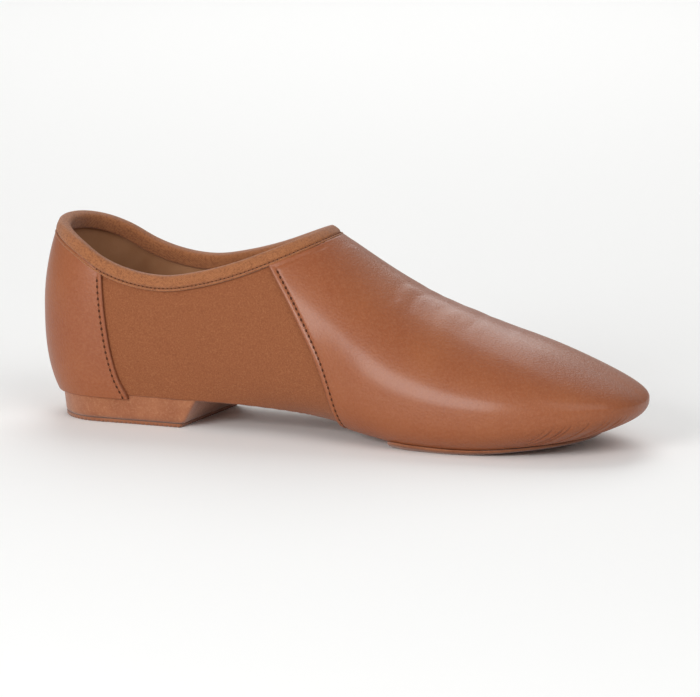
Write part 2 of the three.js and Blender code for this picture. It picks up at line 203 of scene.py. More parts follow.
# Station of a side seam at each girth
def seamStation(seam, girth, low, high):
    axis = np.linspace(low, high, 240)
    p = formPoints(axis[None], girth[:, None])
    return crossing(p[..., 0] / last["length"] - smooth(seam, "along", riseOf(p)), axis, False)


# Station of the collar at each girth, on the throat's side
def collarStation(girth, distance=0.0, grow=0.0):
    axis = np.linspace(0.9, 1.9, 500)
    p = formPoints(axis[None], girth[:, None], grow)
    return crossing(riseOf(p) - collarRise(p, distance), axis, True)


# Girth of the collar at each station on one side
def collarGirth(station, side, distance=0.0, grow=0.0):
    axis = np.linspace(1e-4, 0.5, 400)
    p = formPoints(station[:, None], side * axis[None], grow)
    return crossing(riseOf(p) - collarRise(p, distance), axis, False)


# Meshes are made in metres, round the frame's origin
millimetre = 0.001


# Quads between the points of a grid, closed round its rows or columns where asked
def gridFaces(rows, columns, wrapRows=False, wrapColumns=False, start=0):
    r = np.arange(rows if wrapRows else rows - 1)[:, None]
    c = np.arange(columns if wrapColumns else columns - 1)[None]
    r1, c1 = (r + 1) % rows, (c + 1) % columns
    quads = np.stack([r * columns + c, r * columns + c1, r1 * columns + c1, r1 * columns + c], -1)
    return quads.reshape(-1, 4) + start


# The quads of two such grids, one after the other
def twinFaces(rows, columns):
    return join([gridFaces(rows, columns), gridFaces(rows, columns, start=rows * columns)])


def addObject(name, data):
    made = bpy.data.objects.new(name, data)
    bpy.context.collection.objects.link(made)
    return made


# A piece from points in millimetres: attributes are by point, and points closer than weld become one
def meshPiece(name, points, faces, material, node=None, attributes=None, weld=0.0):
    mesh = bpy.data.meshes.new(name)
    moved = (points.reshape(-1, 3) - np.array([*last["centre"], 0.0])) * millimetre
    mesh.from_pydata(moved.tolist(), [], faces.tolist())
    for key, values in (attributes or {}).items():
        values = np.asarray(values, np.float32)
        kind = "FLOAT_VECTOR" if values.ndim == 2 else "FLOAT"
        layer = mesh.attributes.new(key, kind, "POINT")
        layer.data.foreach_set("vector" if values.ndim == 2 else "value", values.ravel())
    if weld:
        work = bmesh.new()
        work.from_mesh(mesh)
        bmesh.ops.remove_doubles(work, verts=work.verts, dist=weld * millimetre)
        bmesh.ops.recalc_face_normals(work, faces=work.faces)
        work.to_mesh(mesh)
        work.free()
    mesh.shade_smooth()
    mesh.materials.append(materials[material])
    piece = addObject(name, mesh)
    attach(piece, "root")
    if node:
        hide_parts(node)
    print(name, len(mesh.polygons), "faces")


# Distance from each point to a line
def nearLine(points, line):
    flat = points.reshape(-1, 3)
    best = np.full(len(flat), np.inf)
    for a, b in zip(line[:-1], line[1:]):
        edge = b - a
        t = np.clip(((flat - a) @ edge) / max(edge @ edge, 1e-12), 0, 1)
        best = np.minimum(best, np.linalg.norm(flat - a - t[:, None] * edge, axis=1))
    return best.reshape(points.shape[:-1])


# A line, and others that belong to its points, at an even spacing
def resample(line, spacing, *others):
    step = join([[0], np.cumsum(np.linalg.norm(np.diff(line, axis=0), axis=1))])
    at = np.linspace(0, step[-1], max(int(round(step[-1] / spacing)) + 1, 3))
    out = [np.stack([np.interp(at, step, a[:, k]) for k in range(a.shape[1])], -1) for a in (line, *others)]
    return out if others else out[0]


# A closed run of values, each drawn to the mean of its neighbours a few times
def relaxed(values, rounds):
    for _ in range(rounds):
        values = (np.roll(values, 1, 0) + 2 * values + np.roll(values, -1, 0)) / 4
    return values


def unit(v):
    return v / np.maximum(np.linalg.norm(v, axis=-1, keepdims=True), 1e-12)


# A soft bell round zero
def bell(distance, width):
    return np.exp(-(distance / width) ** 2)


# Rises from 0 at low to 1 at high without a corner
def ease(value, low, high):
    t = np.clip((value - low) / (high - low), 0, 1)
    return t * t * (3 - 2 * t)


# Colours and node trees. An sRGB hex colour becomes linear here.
def linear(hexColour):
    channels = [int(hexColour[i:i + 2], 16) / 255 for i in (1, 3, 5)]
    return tuple(c / 12.92 if c <= 0.04045 else ((c + 0.055) / 1.055) ** 2.4 for c in channels) + (1.0,)


def addNode(tree, kind, inputs=None, **settings):
    node = tree.nodes.new("ShaderNode" + kind)
    for key, value in settings.items():
        setattr(node, key, value)
    for key, value in (inputs or {}).items():
        if isinstance(value, bpy.types.NodeSocket):
            tree.links.new(value, node.inputs[key])
        else:
            node.inputs[key].default_value = value
    return node


def newMaterial(name, specular, roughness=0.5, sheen=0.0, nap=0.5, coat=0.0, coatRoughness=0.0):
    material = bpy.data.materials.new(name)
    material.use_nodes = True
    tree = material.node_tree
    tree.nodes.clear()
    surface = addNode(tree, "BsdfPrincipled", {
        "Specular IOR Level": specular, "Roughness": roughness, "Sheen Weight": sheen,
        "Sheen Roughness": nap, "Coat Weight": coat, "Coat Roughness": coatRoughness,
    })
    addNode(tree, "OutputMaterial", {"Surface": surface.outputs[0]})
    place = addNode(tree, "TexCoord").outputs["Object"]
    return material, tree, surface, place


# Noise whose features are about size millimetres
def noise(tree, place, size, detail=2.0, roughness=0.5):
    return addNode(tree, "TexNoise", {
        "Vector": place, "Scale": 1 / (size * millimetre), "Detail": detail, "Roughness": roughness,
    }).outputs["Fac"]


# Cells about size millimetres across
def cellular(tree, place, size, randomness, feature):
    return addNode(tree, "TexVoronoi", {
        "Vector": place, "Scale": 1 / (size * millimetre), "Randomness": randomness,
    }, feature=feature).outputs["Distance"]


# A value stretched from one range to another, and held at its ends
def spread(tree, value, fromLow, fromHigh, toLow, toHigh):
    return addNode(tree, "MapRange", {
        "Value": value, "From Min": fromLow, "From Max": fromHigh, "To Min": toLow, "To Max": toHigh,
    }).outputs["Result"]


def arith(tree, operation, a, b):
    return addNode(tree, "Math", {0: a, 1: b}, operation=operation).outputs[0]


# A colour mixed towards a hex colour, from nothing where the value is low to amount where it is high
def tinted(tree, colour, value, low, high, amount, hexColour):
    inputs = {0: spread(tree, value, low, high, 0, amount), 6: colour, 7: linear(hexColour)}
    return addNode(tree, "Mix", inputs, data_type="RGBA").outputs[2]


# A bump of depth millimetres, on top of another normal where one is given
def bump(tree, height, depth, strength=1.0, normal=None):
    inputs = {"Height": height, "Distance": depth * millimetre, "Strength": strength}
    if normal is not None:
        inputs["Normal"] = normal
    return addNode(tree, "Bump", inputs).outputs["Normal"]


def attribute(tree, name, output):
    return addNode(tree, "Attribute", attribute_name=name).outputs[output]


def dressed(material, surface, colour, normal):
    material.node_tree.links.new(colour, surface.inputs["Base Color"])
    material.node_tree.links.new(normal, surface.inputs["Normal"])
    return material


# Smooth tan leather. The broad soft highlight shows its low sheen, the fine cells its grain, the slow
# clouds its dye, and the darkened line its cut edge.
leather = {
    "tan": "#91502a", "deep": "#8a4824", "pale": "#9e6240", "edge": "#552c19", "roughness": (0.44, 0.6),
    "cloud": 26, "fine": 1.1, "cell": 0.8, "cellDepth": 0.14, "wrinkle": 1.7, "wrinkleDepth": 0.08,
    "drawn": (1.0, 0.5, 0.5),
}


def leatherMaterial():
    material, tree, surface, place = newMaterial("tanLeather", 0.34, coat=0.27, coatRoughness=0.22)
    cloud = noise(tree, place, leather["cloud"], 3.0)
    fine = noise(tree, place, leather["fine"], 4.0, 0.7)
    colour = tinted(tree, linear(leather["deep"]), cloud, 0.35, 0.68, 1, leather["tan"])
    colour = tinted(tree, colour, fine, 0.42, 0.72, 0.5, leather["pale"])
    colour = tinted(tree, colour, attribute(tree, "edge", "Fac"), 0.5, 0.1, 0.5, leather["edge"])
    cells = cellular(tree, place, leather["cell"], 1.0, "SMOOTH_F1")
    # Wrinkles run across the shoe, so their noise is drawn out that way
    drawn = addNode(tree, "Mapping", {"Vector": place, "Scale": leather["drawn"]}).outputs[0]
    soft = noise(tree, drawn, leather["wrinkle"], 5.0, 0.62)
    normal = bump(tree, soft, leather["wrinkleDepth"])
    normal = bump(tree, cells, leather["cellDepth"], 1.0, normal)
    tree.links.new(spread(tree, fine, 0.3, 0.7, *leather["roughness"]), surface.inputs["Roughness"])
    return dressed(material, surface, colour, normal)


# Stretch fabric of the side insert. It is dull, with a fine knit that breaks up the light.
stretch = {
    "tan": "#894f2d", "deep": "#784022", "pale": "#9f6943", "knit": 0.5, "knitDepth": 0.12, "speck": 0.6,
}


def stretchMaterial():
    material, tree, surface, place = newMaterial("stretchFabric", 0.3, roughness=0.82, sheen=0.12)
    knit = cellular(tree, place, stretch["knit"], 0.7, "F1")
    speck = noise(tree, place, stretch["speck"], 3.0, 0.75)
    colour = tinted(tree, linear(stretch["tan"]), speck, 0.5, 0.3, 0.75, stretch["deep"])
    colour = tinted(tree, colour, speck, 0.52, 0.72, 0.6, stretch["pale"])
    return dressed(material, surface, colour, bump(tree, knit, stretch["knitDepth"]))


# Woven elastic. Fine ribs along the band and across it give it a dry textile face.
elastic = {
    "tan": "#a1653e", "deep": "#9a5f38", "pale": "#b88259", "shade": "#764428",
    "rib": 0.9, "pick": 0.8, "depth": 0.14, "speck": 0.75, "cloud": 12,
}


def elasticMaterial():
    material, tree, surface, place = newMaterial("foldedElastic", 0.25, roughness=0.86, sheen=0.2)
    # The weave is a sine along the band times a sine across it, both in the band's own millimetres
    band = addNode(tree, "SeparateXYZ", {0: attribute(tree, "cloth", "Vector")})
    waves = [arith(tree, "SINE", arith(tree, "MULTIPLY", band.outputs[k], 2 * np.pi / pitch), 0.0)
             for k, pitch in ((0, elastic["rib"]), (1, elastic["pick"]))]
    weave = arith(tree, "MULTIPLY", *waves)
    speck = noise(tree, place, elastic["speck"], 3.0, 0.75)
    cloud = noise(tree, place, elastic["cloud"], 3.0)
    colour = tinted(tree, linear(elastic["deep"]), cloud, 0.3, 0.7, 1, elastic["tan"])
    colour = tinted(tree, colour, weave, -0.2, 1.0, 0.45, elastic["pale"])
    colour = tinted(tree, colour, speck, 0.46, 0.64, 0.75, elastic["shade"])
    return dressed(material, surface, colour, bump(tree, weave, elastic["depth"], 0.7))


# Suede. The nap is deep and dry, paler where it is brushed, and darker towards the floor: partly wear,
# partly painted shade along the sole's edge towards the toe and in the heel sheet's notches.
suede = {
    "sole": {"tan": "#9d613e", "deep": "#8f5332", "pale": "#b6805b"},
    "sheet": {"tan": "#965b39", "deep": "#8b5131", "pale": "#a36844"},
    "wornAndShaded": "#532e1d", "nap": 0.8, "napDepth": 0.14, "brushed": 9,
}


def suedeMaterial(name, colours):
    material, tree, surface, place = newMaterial(name, 0.15, roughness=0.95, sheen=0.35, nap=0.6)
    nap = noise(tree, place, suede["nap"], 6.0, 0.72)
    brushed = noise(tree, place, suede["brushed"], 4.0, 0.6)
    colour = tinted(tree, linear(colours["deep"]), brushed, 0.36, 0.66, 1, colours["tan"])
    colour = tinted(tree, colour, nap, 0.48, 0.7, 0.55, colours["pale"])
    # Wear and painted shade: the attribute darkens rubbed places, and paints shade along the sole's edge
    # towards the toe and in the heel sheet's notches
    colour = tinted(tree, colour, attribute(tree, "wearAndShade", "Fac"), 0, 1, 1, suede["wornAndShaded"])
    return dressed(material, surface, colour, bump(tree, nap, suede["napDepth"], 0.8))


# Lining. A flat matte cloth with a barely visible weave.
lining = {"tan": "#ac7e5b", "deep": "#976947", "weave": 0.6, "weaveDepth": 0.08, "cloud": 15}


def liningMaterial():
    material, tree, surface, place = newMaterial("tricotLining", 0.2, roughness=0.9, sheen=0.15)
    weave = noise(tree, place, lining["weave"])
    cloud = noise(tree, place, lining["cloud"], 3.0)
    colour = tinted(tree, linear(lining["deep"]), cloud, 0.3, 0.7, 1, lining["tan"])
    return dressed(material, surface, colour, bump(tree, weave, lining["weaveDepth"], 0.7))


# Sewing thread, which shows as a dull line of small lights, and the painted shade of the needle holes, a
# dark lentil between stitches
sewing = {
    "thread": {"colour": "#905432", "roughness": 0.75, "fibre": 0.4},
    "hole": {"colour": "#4d2815", "roughness": 0.95, "fibre": 0.5}, "dark": "#351e13", "fibreDepth": 0.05,
}


def sewingMaterial(name, kind):
    look = sewing[kind]
    material, tree, surface, place = newMaterial(name, 0.3, roughness=look["roughness"])
    fibre = noise(tree, place, look["fibre"], 3.0)
    colour = tinted(tree, linear(look["colour"]), fibre, 0.3, 0.7, 0.4, sewing["dark"])
    return dressed(material, surface, colour, bump(tree, fibre, sewing["fibreDepth"], 0.6))


materials = {
    "leather": leatherMaterial(), "stretch": stretchMaterial(), "elastic": elasticMaterial(),
    "suede": suedeMaterial("brushedSuede", suede["sole"]),
    "heelSheet": suedeMaterial("heelSheetSuede", suede["sheet"]), "lining": liningMaterial(),
    "thread": sewingMaterial("sewingThread", "thread"), "hole": sewingMaterial("needleHoleShade", "hole"),
}
print("materials", len(materials))

# Sewn edges of the vamp and the counter: the leather ends under the binding, dips at its edge and is pulled
# into a trough along the stitches, and its rim turns down through its thickness
seamEdge = {
    "belowCollar": 3.2, "troughWidth": 0.6, "dip": 0.22, "dipWidth": 0.35, "rim": (0.3, 0.6, 1.0),
    "weld": 0.004,
}


def seamGrowth(near, settings):
    trough = settings["stitchTrough"] * bell(near - settings["stitchIn"], seamEdge["troughWidth"])
    return -trough - seamEdge["dip"] * bell(near, seamEdge["dipWidth"])


# Vamp: leather from the side seams to the toe, with walking creases and lasting pleats

vamp = {
    "rows": 205, "columns": 225, "stitchIn": 2.2, "stitchTrough": 0.22,
    "creases": {
        "along": (150, 158, 167, 178, 190, 118, 126, 136),
        "slant": (14, 10, 6, -6, -10, 20, 16, -30),
        "from": (-0.34, -0.30, -0.36, -0.28, -0.22, -0.16, -0.2, -0.44),
        "to": (0.30, 0.36, 0.28, 0.34, 0.24, 0.2, 0.14, -0.14),
        "width": (2.4, 1.8, 2.8, 2.2, 2.6, 2.0, 1.8, 3.0),
        "depth": (0.1, 0.07, 0.12, 0.08, 0.07, 0.06, 0.05, 0.12),
    },
    "fine": {
        "along": (139.0, 141.6, 144.5, 147.0, 150.2), "slant": (30, 30, 28, 26, 24),
        "from": (-0.30, -0.34, -0.32, -0.35, -0.30), "to": (-0.12, -0.10, -0.13, -0.08, -0.14),
        "width": (0.9, 0.8, 1.0, 0.8, 0.9), "depth": (0.07, 0.06, 0.08, 0.06, 0.05),
    },
    "creaseFade": 0.12, "creaseWaver": 1.2, "creaseEnd": (0.42, 0.5),
    "pleats": {
        "pitch": 4.6, "depth": 0.52, "station": (2.26, 2.46), "girth": (0.52, 0.66), "under": (0.82, 0.96),
    },
}


# A crease is a bell of a trough with a lower bell of a ridge beside it. across is y as a share of the
# ball's width, so that both halves agree on the shoe's ridge. A crease wavers a little, and fades towards
# both its ends and before the widest line.
def creaseGrowth(p, girth, creases):
    growth = np.zeros_like(girth)
    across = p[..., 1] / last["ballWidth"]
    upper = 1 - ease(np.abs(girth), *vamp["creaseEnd"])
    for k in range(len(creases["along"])):
        start, end = creases["from"][k], creases["to"][k]
        line = creases["along"][k] + creases["slant"][k] * (across - (start + end) / 2)
        off = p[..., 0] - line - vamp["creaseWaver"] * np.sin(across * 21 + k)
        soft = vamp["creaseFade"]
        fade = upper * ease(across, start, start + soft) * (1 - ease(across, end - soft, end))
        width = creases["width"][k]
        growth += creases["depth"][k] * fade * (0.55 * bell(off - 1.5 * width, width) - bell(off, width))
    return growth


# Pleats are sharp troughs, a cosine cubed of the way back from the toe's tip, so that both halves agree
# there. Two slow sines make their spacing uneven.
def pleatGrowth(flat, station, girths):
    pleats = vamp["pleats"]
    steps = np.diff(flat[:, :, :2], axis=1, prepend=flat[:, :1, :2])
    way = np.cumsum(np.linalg.norm(steps, axis=2), axis=1)
    way = way[:, -1:] - way
    phase = 0.5 + way / pleats["pitch"] + 0.35 * np.sin(way * 0.31) + 0.2 * np.sin(way * 0.83)
    sharp = np.clip(np.cos(2 * np.pi * phase), 0, 1) ** 3
    fade = ease(np.abs(girths), *pleats["girth"]) * (1 - ease(np.abs(girths), *pleats["under"]))
    return -pleats["depth"] * sharp * fade * ease(station, *pleats["station"])


def buildVamp():
    girth = np.linspace(-1, 1, vamp["rows"] * 2 + 1)
    start = np.zeros_like(girth)
    for side, half in ((-1, girth < 0), (1, girth >= 0)):
        seam = seamStation(vampSeams[side], girth[half], 1.0, 2.0)
        collar = collarStation(girth[half], -seamEdge["belowCollar"])
        start[half] = np.fmax(np.nan_to_num(seam, nan=0.0), np.nan_to_num(collar, nan=0.0))
    # Columns crowd near the seam, where the stitches pull a trough
    run = np.cumsum(0.4 + 0.6 * ease(np.linspace(0, 1, vamp["columns"]), 0.03, 0.12))
    run = (run - run[0]) / (run[-1] - run[0])
    station = start[:, None] + (3 - start[:, None]) * run[None]
    girths = np.broadcast_to(girth[:, None], station.shape)
    flat = formPoints(station, girths)
    # The throat's middle, under the binding, is no seam
    seams = [formPoints(start[half], girth[half]) for half in (girth < -0.12, girth > 0.12)]
    near = np.minimum(*[nearLine(flat, seam) for seam in seams])
    growth = creaseGrowth(flat, girths, vamp["creases"]) + creaseGrowth(flat, girths, vamp["fine"])
    growth += seamGrowth(near, vamp) + pleatGrowth(flat, station, girths)
    outside = formPoints(station, girths, growth)
    rim = [formPoints(station[:, 0], girth, growth[:, 0] - depth) for depth in seamEdge["rim"][::-1]]
    points = join([np.stack(rim, 1), outside], 1)
    edge = join([np.zeros((len(girth), len(rim))), near], 1)
    meshPiece("vamp", points, gridFaces(*points.shape[:2]), "leather", "vamp",
              {"edge": edge.ravel()}, seamEdge["weld"])


buildVamp()

# Heel counter: leather from the heel back to its seam on each side

counter = {"rows": 130, "columns": 90, "stitchIn": 1.8, "stitchTrough": 0.2, "crowd": 1.5}


def buildCounter():
    grids, edges = [], []
    up = np.linspace(0, 1, counter["rows"])[:, None]
    # Columns crowd near the seam
    across = 1 - (1 - np.linspace(0, 1, counter["columns"])[None]) ** counter["crowd"]
    axis = np.linspace(0.0, 1.6, 120)
    for side in (-1, 1):
        top = collarGirth(axis, side, -seamEdge["belowCollar"])
        girth = np.full((counter["rows"], counter["columns"]), 0.6)
        # Rows end on the seam and columns at the collar, so each round fits one to the other
        for _ in range(8):
            station = across * seamStation(counterSeam, side * girth[:, -1], 0.3, 1.7)[:, None]
            girth = 1 - up * (1 - np.interp(station, axis, top))
        girth = side * girth
        flat = formPoints(station, girth)
        near = nearLine(flat, flat[:, -1])
        growth = seamGrowth(near, counter)
        outside = formPoints(station, girth, growth)
        rim = [formPoints(station[:, -1], girth[:, -1], growth[:, -1] - depth) for depth in seamEdge["rim"]]
        grids.append(join([outside, np.stack(rim, 1)], 1))
        edges.append(join([near, np.zeros((len(near), len(rim)))], 1))
    faces = twinFaces(*grids[0].shape[:2])
    meshPiece("heel_counter", np.stack(grids), faces, "leather", "heel_counter",
              {"edge": np.ravel(edges)}, seamEdge["weld"])


buildCounter()

# Sock: the stretch outside, whose sides and arch show, and the lining inside, joined at the collar

sock = {"outside": -1.3, "inside": -3.1, "rows": 70, "heel": 34, "waist": 46, "toe": 76, "crowd": 2.2}


def buildSock():
    throat = float(collarStation(np.array([1e-4]))[0])
    # Columns crowd before the throat, where the collar's edge rises fastest
    heel = np.linspace(0, 1, sock["heel"])[:-1]
    waist = 1 + (throat - 1) * (1 - (1 - np.linspace(0, 1, sock["waist"])) ** sock["crowd"])
    toe = throat + (3 - throat) * np.linspace(0, 1, sock["toe"])[1:]
    axis = join([heel, waist, toe])
    across = np.linspace(0, 1, sock["rows"])[None]
    girths = []
    for side in (-1, 1):
        top = np.nan_to_num(collarGirth(axis, side), nan=0.0)
        top[axis >= throat] = 0.0
        girths.append(side * (1 - (1 - top[:, None]) * across))
    outside, inside = [
        join([formPoints(axis[:, None], girth, sock[layer]).reshape(-1, 3) for girth in girths])
        for layer in ("outside", "inside")
    ]
    rows, columns = girths[0].shape
    quads = twinFaces(rows, columns)
    # A strip on each side joins the outside to the lining at the collar
    strips = []
    for half in (0, 1):
        outer = (half * rows + np.arange(len(heel) + len(waist) - 1)) * columns + columns - 1
        inner = outer + 2 * rows * columns
        strips.append(np.stack([outer, outer + columns, inner + columns, inner], -1))
    joined = join([quads, *strips])
    used = np.unique(joined)
    fresh = np.zeros(4 * rows * columns, int)
    fresh[used] = np.arange(len(used))
    meshPiece("sock_outside", join([outside, inside])[used], fresh[joined], "stretch",
              "upper", weld=seamEdge["weld"])
    meshPiece("sock_lining", inside, quads, "lining", weld=seamEdge["weld"])


buildSock()

# Collar binding: a band folded over the collar's edge. outward and upward are the points round its
# section, from the sewn foot outside over the fold to the foot inside.

binding = {
    "spacing": 1.0, "stitchDown": 3.3, "stitchOut": 1.06, "reach": 4.9, "throatGirth": 0.2, "rounds": 6,
    "outward": (0.95, 1.38, 1.42, 1.02, 1.05, 1.5, 1.66, 1.62, 1.3,
                0.5, -0.9, -2.3, -3.15, -3.45, -3.45, -3.3, -2.6, -0.9),
    "upward": (-4.35, -4.1, -3.75, -3.4, -3.05, -2.5, -1.3, 0.1, 1.1,
               1.72, 1.9, 1.7, 1.0, -0.3, -2.5, -3.9, -4.3, -4.3),
}


# The surface's outward direction, square to small steps along the shoe and round it
def outwardOf(station, girth, grow, step):
    before = np.clip(station - step, 0, 3)
    alongForm = formPoints(station + step, girth, grow) - formPoints(before, girth, grow)
    roundForm = formPoints(station, girth + step, grow) - formPoints(station, girth - step, grow)
    normal = unit(np.cross(roundForm, alongForm))
    away = formPoints(station, girth, grow + 1.0) - formPoints(station, girth, grow)
    return np.where(np.sum(normal * away, -1, keepdims=True) < 0, -normal, normal)


# The collar's edge on the sock: its points, and the directions along it, outward and upward at each
def collarPath():
    grow = sock["outside"]
    throat = float(collarStation(np.array([1e-4]), 0.0, grow)[0])
    low = np.linspace(0, throat, 400)
    rows = np.linspace(binding["throatGirth"], 1e-4, 60)
    lines, directions = [], []
    for side in (-1, 1):
        girth = collarGirth(low, side, 0.0, grow)
        keep = np.isfinite(girth) & (girth > binding["throatGirth"])
        station = join([low[keep], collarStation(side * rows, 0.0, grow)])
        girth = side * join([girth[keep], rows])
        lines.append(formPoints(station, girth, grow))
        directions.append(outwardOf(station, girth, grow, 0.004))
    closed = [join([a, b[::-1][1:-1], a[:1]]) for a, b in (lines, directions)]
    spaced = resample(closed[0], binding["spacing"], closed[1])
    line, outward = [relaxed(a[:-1], binding["rounds"]) for a in spaced]
    forward = unit(np.roll(line, -1, 0) - np.roll(line, 1, 0))
    outward = unit(outward - np.sum(outward * forward, 1, keepdims=True) * forward)
    upward = np.cross(outward, forward)
    return line, outward, np.where(upward[:, 2:] < 0, -upward, upward)


# A closed curve of cubics through section points, its slope at each half the way between its neighbours
def closedCurve(a, steps):
    a = np.array(a, float)
    t = np.linspace(0, 1, steps, endpoint=False)[None]
    p0, p1, p2, p3 = (np.roll(a, k)[:, None] for k in (1, 0, -1, -2))
    curve = 0.5 * (2 * p1 + (p2 - p0) * t + (2 * p0 - 5 * p1 + 4 * p2 - p3) * t ** 2
                   + (3 * p1 - p0 - 3 * p2 + p3) * t ** 3)
    return curve.ravel()


def buildBinding():
    line, outward, upward = collarPath()
    out, up = closedCurve(binding["outward"], 4), closedCurve(binding["upward"], 4)
    # The elastic swells and narrows a little along the collar
    along = np.arange(len(line)) * binding["spacing"]
    swell = 0.07 * np.sin(along * 0.55) + 0.05 * np.sin(along * 1.27 + 1)
    fat = out[None] * (1 + 0.5 * swell[:, None] * ease(out, 0.3, 1.5)[None])
    points = line[:, None] + outward[:, None] * fat[..., None] + upward[:, None] * up[None, :, None]
    around = join([[0], np.cumsum(np.hypot(np.diff(out), np.diff(up)))])
    cloth = np.stack(np.broadcast_arrays(along[:, None], around[None], 0.0), -1)
    meshPiece("collar_binding", points, gridFaces(len(line), len(out), True, True), "elastic",
              "collar_binding", {"cloth": cloth.reshape(-1, 3)}, weld=0.001)
    return line, outward, upward


collarFrame = buildBinding()

# Stitches: short bent threads whose ends dive into the leather, and between each two a dark lentil, painted
# shade of the needle holes.
# Each size gives the lentil's half length, width and depth, and a run is a seam's two end girths and number
# of samples.

stitch = {
    "rings": 9, "sides": 6, "holeRings": 7, "steps": 8,
    "vampRun": (0.1, 0.96, 260), "counterRun": (0.1, 0.83, 220),
    "leather": {"pitch": 2.35, "length": 1.15, "radius": 0.28, "hole": (0.76, 0.56, 0.18)},
    "elastic": {"pitch": 1.7, "length": 0.9, "radius": 0.22, "hole": (0.42, 0.3, 0.14)},
    "thin": 0.45, "lift": 0.05, "dive": 0.5, "sink": -0.2,
}


def stitchRow(name, line, outward, kind):
    size = stitch[kind]
    steps = stitch["steps"]
    line, outward = resample(line, size["pitch"] / steps, outward)
    ends = np.clip(np.arange(len(line))[:, None] + [2, -2], 0, len(line) - 1)
    ahead = unit(line[ends[:, 0]] - line[ends[:, 1]])
    normal = unit(outward)
    axes = (ahead, unit(np.cross(normal, ahead)), normal)
    turn = np.linspace(0, 2 * np.pi, stitch["sides"], endpoint=False)[None]
    # A thread is a tube that thins with the sixth power of its half run and dives with the fourth
    t = np.linspace(-1, 1, stitch["rings"])[:, None]
    radius = size["radius"] * (1 - stitch["thin"] * t ** 6)
    height = radius * np.sin(turn) + stitch["lift"] - stitch["dive"] * t ** 4
    thread = np.stack(np.broadcast_arrays(t * size["length"] / 2, radius * np.cos(turn), height), -1)
    # A flat dark lentil between two threads, painted shade of the needle holes
    polar = np.linspace(0, np.pi, stitch["holeRings"])[:, None]
    ball = (np.sin(polar) * np.cos(turn), np.sin(polar) * np.sin(turn), np.cos(polar))
    hole = np.stack(np.broadcast_arrays(*ball), -1) * np.array(size["hole"])
    # Each shape is repeated along the row, turned to the row's own three directions
    for label, shape, first, look in (("", thread, steps // 2, "thread"), ("_holes", hole, steps, "hole")):
        at = slice(first, None, steps)
        points = sum(shape[None, ..., k, None] * axes[k][at][:, None, None] for k in range(3))
        faces = gridFaces(*shape.shape[:2], wrapColumns=True)
        starts = np.arange(len(points)) * shape[..., 0].size
        every = (faces[None] + starts[:, None, None]).reshape(-1, 4)
        meshPiece(name + label, points + line[at][:, None, None], every, look)


# A row beside a seam: the seam's points moved along the shoe until they lie the stitch distance from it.
# One further step corrects for the seam's slant.
def besideSeam(station, girth, distance, step):
    seam = formPoints(station, girth)
    run = np.linalg.norm(formPoints(station + step, girth) - seam, axis=1)
    move = step * distance / np.maximum(run, 1e-6)
    near = nearLine(formPoints(np.clip(station + move, 0, 3), girth), seam)
    return np.clip(station + move * distance / np.maximum(near, 1e-3), 0, 3)


def sewSeams():
    for side, label in ((-1, "medial"), (1, "lateral")):
        for name, settings, run, seam, span, step in (
            ("vamp", vamp, stitch["vampRun"], vampSeams[side], (1.0, 2.0), 0.02),
            ("counter", counter, stitch["counterRun"], counterSeam, (0.3, 1.7), -0.02),
        ):
            girth = side * np.linspace(*run)
            station = besideSeam(seamStation(seam, girth, *span), girth, settings["stitchIn"], step)
            # The row ends at the binding's foot
            if name == "vamp":
                shown = station > np.nan_to_num(collarStation(girth, -binding["reach"]))
            else:
                shown = np.abs(girth) > collarGirth(station, side, -binding["reach"])
            station, girth = station[shown], girth[shown]
            row = formPoints(station, girth, stitch["sink"])
            stitchRow(name + "_stitch_" + label, row, outwardOf(station, girth, 0.0, 0.003), "leather")
    line, outward, upward = collarFrame
    row = line - upward * binding["stitchDown"] + outward * binding["stitchOut"]
    stitchRow("binding_stitch", *[join([a, a[:1]]) for a in (row, outward)], "elastic")


sewSeams()

# Heel block: suede over a low block, rounded at its foot, its top hidden under the counter and the sock.
# It leans from its outline on the floor to the one at the reference height.

heel = {
    "sheet": 1.5, "gap": 0.1, "backShare": 0.68, "sideShare": 0.83, "length": 57.0, "flare": 0.12,
    "slope": 0.6, "skew": 0.08, "corner": 1.4, "into": -1.7, "centre": (40.0, 0.0), "reference": 20.0,
    "foot": 1.0, "layers": 14, "notchPitch": 1.9, "notchDepth": 0.3, "notchStep": 0.3, "capInset": 1.4,
}


# Where the block's side runs, beside the spine, at places along the shoe
def heelSide(x, side, flare):
    share = x / last["length"]
    return spineAt(share) + side * (widthAt(share, side) * heel["sideShare"] + flare)


# The heel's outline at a height: from the back to the breast on each side, two small corners and the
# breast. Round the back its share of the form turns from the side's to the back's by a squared cosine.
def heelOutline(height, inset=0.0):
    flare = heel["flare"] * height - inset
    start = last["heelCentre"] * last["length"]
    front = start * (1 - heel["backShare"]) + heel["length"] + heel["slope"] * height - inset
    halves = []
    for side in (-1.0, 1.0):
        _, spineX, spineY, armX, armY = armOf(np.linspace(0, 1, 40), np.full(40, side), 0.0)
        reach = np.hypot(armX, armY)
        scale = heel["sideShare"] + (heel["backShare"] - heel["sideShare"]) * (armX / reach) ** 2
        scale = scale + flare / reach
        cornerX = front + heel["skew"] * heelSide(front, side, flare) - heel["corner"]
        straight = start + (cornerX - start) * np.linspace(0, 1, 24)[1:]
        turn = np.linspace(0, np.pi / 2, 8)[1:]
        cornerY = heelSide(cornerX, side, flare) - side * heel["corner"] * (1 - np.cos(turn))
        x = join([spineX + armX * scale, straight, cornerX + heel["corner"] * np.sin(turn)])
        y = join([spineY + armY * scale, heelSide(straight, side, flare), cornerY])
        halves.append(np.stack([x, y], -1))
    breast = halves[0][-1] + (halves[1][-1] - halves[0][-1]) * np.linspace(0, 1, 24)[1:-1, None]
    return join([halves[0], breast, halves[1][:0:-1]])


def levelRing(outline, height):
    return np.column_stack([outline, np.broadcast_to(height, len(outline))])


# Level rings that close an outline towards the heel's centre
def heelCap(outline, height, shares):
    centre = np.array(heel["centre"])
    return [levelRing(centre + (outline - centre) * share, height) for share in shares]


